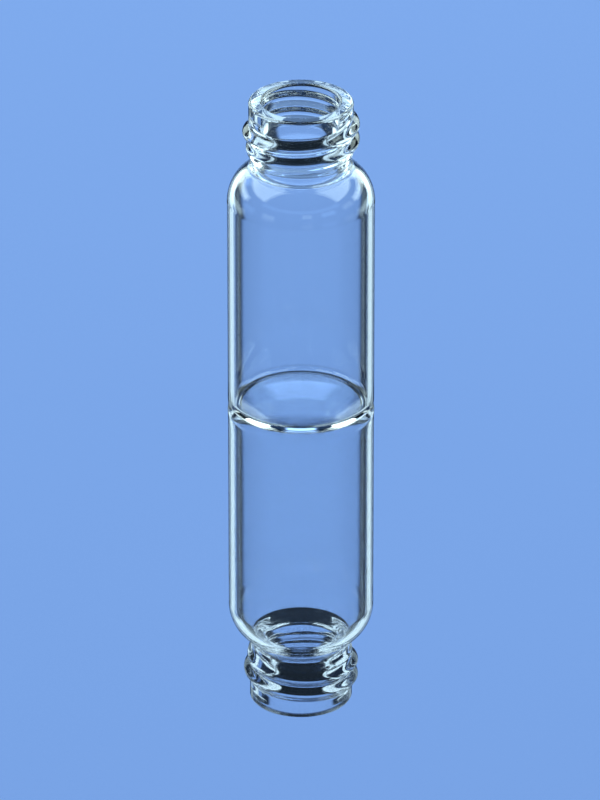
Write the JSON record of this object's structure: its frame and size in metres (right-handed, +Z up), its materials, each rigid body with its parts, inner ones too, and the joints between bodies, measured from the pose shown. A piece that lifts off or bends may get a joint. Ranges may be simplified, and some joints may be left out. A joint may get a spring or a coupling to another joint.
{
  "type": "sample vial",
  "caption": "Open clear glass sample vial with a short screw neck, a rounded shoulder and a pushed-up base, without its cap.",
  "frame": {"origin": "centre of the foot ring, on the surface that the vial stands on", "axes": "+Z up along the vial's axis, out of its mouth; the thread's upper end starts 180 degrees round from +X, counterclockwise from above"},
  "size_m": [0.027, 0.027, 0.0613],
  "materials": {
    "clear_glass": "fire-polished clear borosilicate glass"
  },
  "bodies": {
    "root": {"vial": "clear_glass"}
  },
  "joints": []
}
